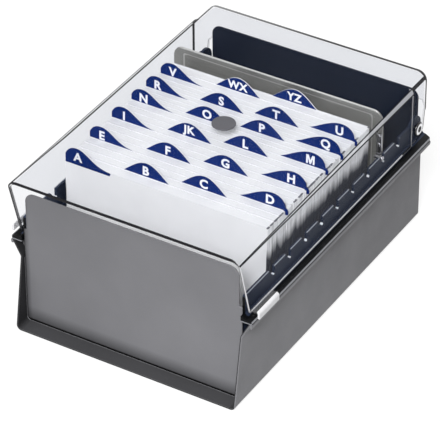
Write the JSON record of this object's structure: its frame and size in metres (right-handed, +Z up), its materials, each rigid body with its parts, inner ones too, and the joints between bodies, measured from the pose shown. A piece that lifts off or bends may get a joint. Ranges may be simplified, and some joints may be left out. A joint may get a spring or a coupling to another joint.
{
  "type": "index card tray",
  "caption": "Covered desktop tray for index cards: steel tray with ratchet rails, follower plate, filed guides and a hinged clear cover.",
  "frame": {"origin": "middle of the footprint, at the height of the table", "axes": "+X to the right seen from the open front, +Y to the rear, +Z up"},
  "size_m": [0.1246, 0.1676, 0.0799],
  "materials": {
    "steel_gray": "satin gray enamel",
    "steel_navy": "satin dark navy enamel",
    "rail": "satin dark navy plastic",
    "clear": "clear polished plastic",
    "badge": "satin gray disc, blank",
    "follower": "brushed steel",
    "bright": "bright nickel plate",
    "pad": "matte black rubber",
    "guide": "smooth white card with blue printed tab",
    "card": "plain white card stock"
  },
  "bodies": {
    "tray": {"shell": "steel_gray", "front_panel": "steel_gray", "rear_panel": "steel_navy", "card_bed": "steel_navy", "ratchet_rail_left": "rail", "ratchet_rail_right": "rail", "hinge_pin_left": "bright", "hinge_pin_right": "bright", "foot_pads": "pad"},
    "cover_body": {"cover": "clear", "badge": "badge"},
    "follower": {"follower_plate": "follower", "follower_spring_left": "bright", "follower_spring_right": "bright", "follower_rivets": "bright"},
    "section_a": {"guide_a": "guide", "cards_a": "card"},
    "section_b": {"guide_b": "guide", "cards_b": "card"},
    "section_c": {"guide_c": "guide", "cards_c": "card"},
    "section_d": {"guide_d": "guide", "cards_d": "card"},
    "section_e": {"guide_e": "guide", "cards_e": "card"},
    "section_f": {"guide_f": "guide", "cards_f": "card"},
    "section_g": {"guide_g": "guide", "cards_g": "card"},
    "section_h": {"guide_h": "guide", "cards_h": "card"},
    "section_i": {"guide_i": "guide", "cards_i": "card"},
    "section_jk": {"guide_jk": "guide", "cards_jk": "card"},
    "section_l": {"guide_l": "guide", "cards_l": "card"},
    "section_m": {"guide_m": "guide", "cards_m": "card"},
    "section_n": {"guide_n": "guide", "cards_n": "card"},
    "section_o": {"guide_o": "guide", "cards_o": "card"},
    "section_p": {"guide_p": "guide", "cards_p": "card"},
    "section_q": {"guide_q": "guide", "cards_q": "card"},
    "section_r": {"guide_r": "guide", "cards_r": "card"},
    "section_s": {"guide_s": "guide", "cards_s": "card"},
    "section_t": {"guide_t": "guide", "cards_t": "card"},
    "section_u": {"guide_u": "guide", "cards_u": "card"},
    "section_v": {"guide_v": "guide", "cards_v": "card"},
    "section_wx": {"guide_wx": "guide", "cards_wx": "card"},
    "section_yz": {"guide_yz": "guide"}
  },
  "joints": [
    {"name": "cover_hinge", "type": "hinge", "parent": "tray", "child": "cover_body", "pos_m": [0, 0.0745, 0.0532], "axis": [-1, 0, 0], "range_deg": [0, 80]},
    {"name": "follower_slide", "type": "slide", "parent": "tray", "child": "follower", "axis": [0, 1, 0], "range_m": [0, 0.0138], "deforming": ["follower_spring_left", "follower_spring_right"]},
    {"name": "tilt_a", "type": "hinge", "parent": "tray", "child": "section_a", "pos_m": [0, -0.0494, 0.01406], "axis": [1, 0, 0], "range_deg": [0, 24]},
    {"name": "tilt_b", "type": "hinge", "parent": "tray", "child": "section_b", "pos_m": [0, -0.0435, 0.01406], "axis": [1, 0, 0], "range_deg": [0, 23.01]},
    {"name": "tilt_c", "type": "hinge", "parent": "tray", "child": "section_c", "pos_m": [0, -0.039, 0.01406], "axis": [1, 0, 0], "range_deg": [0, 21.96]},
    {"name": "tilt_d", "type": "hinge", "parent": "tray", "child": "section_d", "pos_m": [0, -0.0345, 0.01406], "axis": [1, 0, 0], "range_deg": [0, 20.92]},
    {"name": "tilt_e", "type": "hinge", "parent": "tray", "child": "section_e", "pos_m": [0, -0.03, 0.01406], "axis": [1, 0, 0], "range_deg": [0, 19.88]},
    {"name": "tilt_f", "type": "hinge", "parent": "tray", "child": "section_f", "pos_m": [0, -0.02555, 0.01406], "axis": [1, 0, 0], "range_deg": [0, 18.83]},
    {"name": "tilt_g", "type": "hinge", "parent": "tray", "child": "section_g", "pos_m": [0, -0.0211, 0.01406], "axis": [1, 0, 0], "range_deg": [0, 17.79]},
    {"name": "tilt_h", "type": "hinge", "parent": "tray", "child": "section_h", "pos_m": [0, -0.01665, 0.01406], "axis": [1, 0, 0], "range_deg": [0, 16.75]},
    {"name": "tilt_i", "type": "hinge", "parent": "tray", "child": "section_i", "pos_m": [0, -0.0122, 0.01406], "axis": [1, 0, 0], "range_deg": [0, 15.7]},
    {"name": "tilt_jk", "type": "hinge", "parent": "tray", "child": "section_jk", "pos_m": [0, -0.00815, 0.01406], "axis": [1, 0, 0], "range_deg": [0, 14.66]},
    {"name": "tilt_l", "type": "hinge", "parent": "tray", "child": "section_l", "pos_m": [0, -0.0041, 0.01406], "axis": [1, 0, 0], "range_deg": [0, 13.62]},
    {"name": "tilt_m", "type": "hinge", "parent": "tray", "child": "section_m", "pos_m": [0, -0.00005, 0.01406], "axis": [1, 0, 0], "range_deg": [0, 12.57]},
    {"name": "tilt_n", "type": "hinge", "parent": "tray", "child": "section_n", "pos_m": [0, 0.004, 0.01406], "axis": [1, 0, 0], "range_deg": [0, 11.53]},
    {"name": "tilt_o", "type": "hinge", "parent": "tray", "child": "section_o", "pos_m": [0, 0.00705, 0.01406], "axis": [1, 0, 0], "range_deg": [0, 10.49]},
    {"name": "tilt_p", "type": "hinge", "parent": "tray", "child": "section_p", "pos_m": [0, 0.0101, 0.01406], "axis": [1, 0, 0], "range_deg": [0, 9.44]},
    {"name": "tilt_q", "type": "hinge", "parent": "tray", "child": "section_q", "pos_m": [0, 0.01315, 0.01406], "axis": [1, 0, 0], "range_deg": [0, 8.4]},
    {"name": "tilt_r", "type": "hinge", "parent": "tray", "child": "section_r", "pos_m": [0, 0.0162, 0.01406], "axis": [1, 0, 0], "range_deg": [0, 7.35]},
    {"name": "tilt_s", "type": "hinge", "parent": "tray", "child": "section_s", "pos_m": [0, 0.0193, 0.01406], "axis": [1, 0, 0], "range_deg": [0, 6.31]},
    {"name": "tilt_t", "type": "hinge", "parent": "tray", "child": "section_t", "pos_m": [0, 0.0224, 0.01406], "axis": [1, 0, 0], "range_deg": [0, 5.27]},
    {"name": "tilt_u", "type": "hinge", "parent": "tray", "child": "section_u", "pos_m": [0, 0.0255, 0.01406], "axis": [1, 0, 0], "range_deg": [0, 4.22]},
    {"name": "tilt_v", "type": "hinge", "parent": "tray", "child": "section_v", "pos_m": [0, 0.0286, 0.01406], "axis": [1, 0, 0], "range_deg": [0, 3.18]},
    {"name": "tilt_wx", "type": "hinge", "parent": "tray", "child": "section_wx", "pos_m": [0, 0.0335, 0.01406], "axis": [1, 0, 0], "range_deg": [0, 2.14]},
    {"name": "tilt_yz", "type": "hinge", "parent": "tray", "child": "section_yz", "pos_m": [0, 0.0384, 0.01406], "axis": [1, 0, 0], "range_deg": [0, 1.09]}
  ],
  "couplings": [
    {"joint": "tilt_b", "follows": "tilt_a", "ratio": 0.9565},
    {"joint": "tilt_c", "follows": "tilt_a", "ratio": 0.913},
    {"joint": "tilt_d", "follows": "tilt_a", "ratio": 0.8696},
    {"joint": "tilt_e", "follows": "tilt_a", "ratio": 0.8261},
    {"joint": "tilt_f", "follows": "tilt_a", "ratio": 0.7826},
    {"joint": "tilt_g", "follows": "tilt_a", "ratio": 0.7391},
    {"joint": "tilt_h", "follows": "tilt_a", "ratio": 0.6957},
    {"joint": "tilt_i", "follows": "tilt_a", "ratio": 0.6522},
    {"joint": "tilt_jk", "follows": "tilt_a", "ratio": 0.6087},
    {"joint": "tilt_l", "follows": "tilt_a", "ratio": 0.5652},
    {"joint": "tilt_m", "follows": "tilt_a", "ratio": 0.5217},
    {"joint": "tilt_n", "follows": "tilt_a", "ratio": 0.4783},
    {"joint": "tilt_o", "follows": "tilt_a", "ratio": 0.4348},
    {"joint": "tilt_p", "follows": "tilt_a", "ratio": 0.3913},
    {"joint": "tilt_q", "follows": "tilt_a", "ratio": 0.3478},
    {"joint": "tilt_r", "follows": "tilt_a", "ratio": 0.3043},
    {"joint": "tilt_s", "follows": "tilt_a", "ratio": 0.2609},
    {"joint": "tilt_t", "follows": "tilt_a", "ratio": 0.2174},
    {"joint": "tilt_u", "follows": "tilt_a", "ratio": 0.1739},
    {"joint": "tilt_v", "follows": "tilt_a", "ratio": 0.1304},
    {"joint": "tilt_wx", "follows": "tilt_a", "ratio": 0.087},
    {"joint": "tilt_yz", "follows": "tilt_a", "ratio": 0.0435}
  ]
}
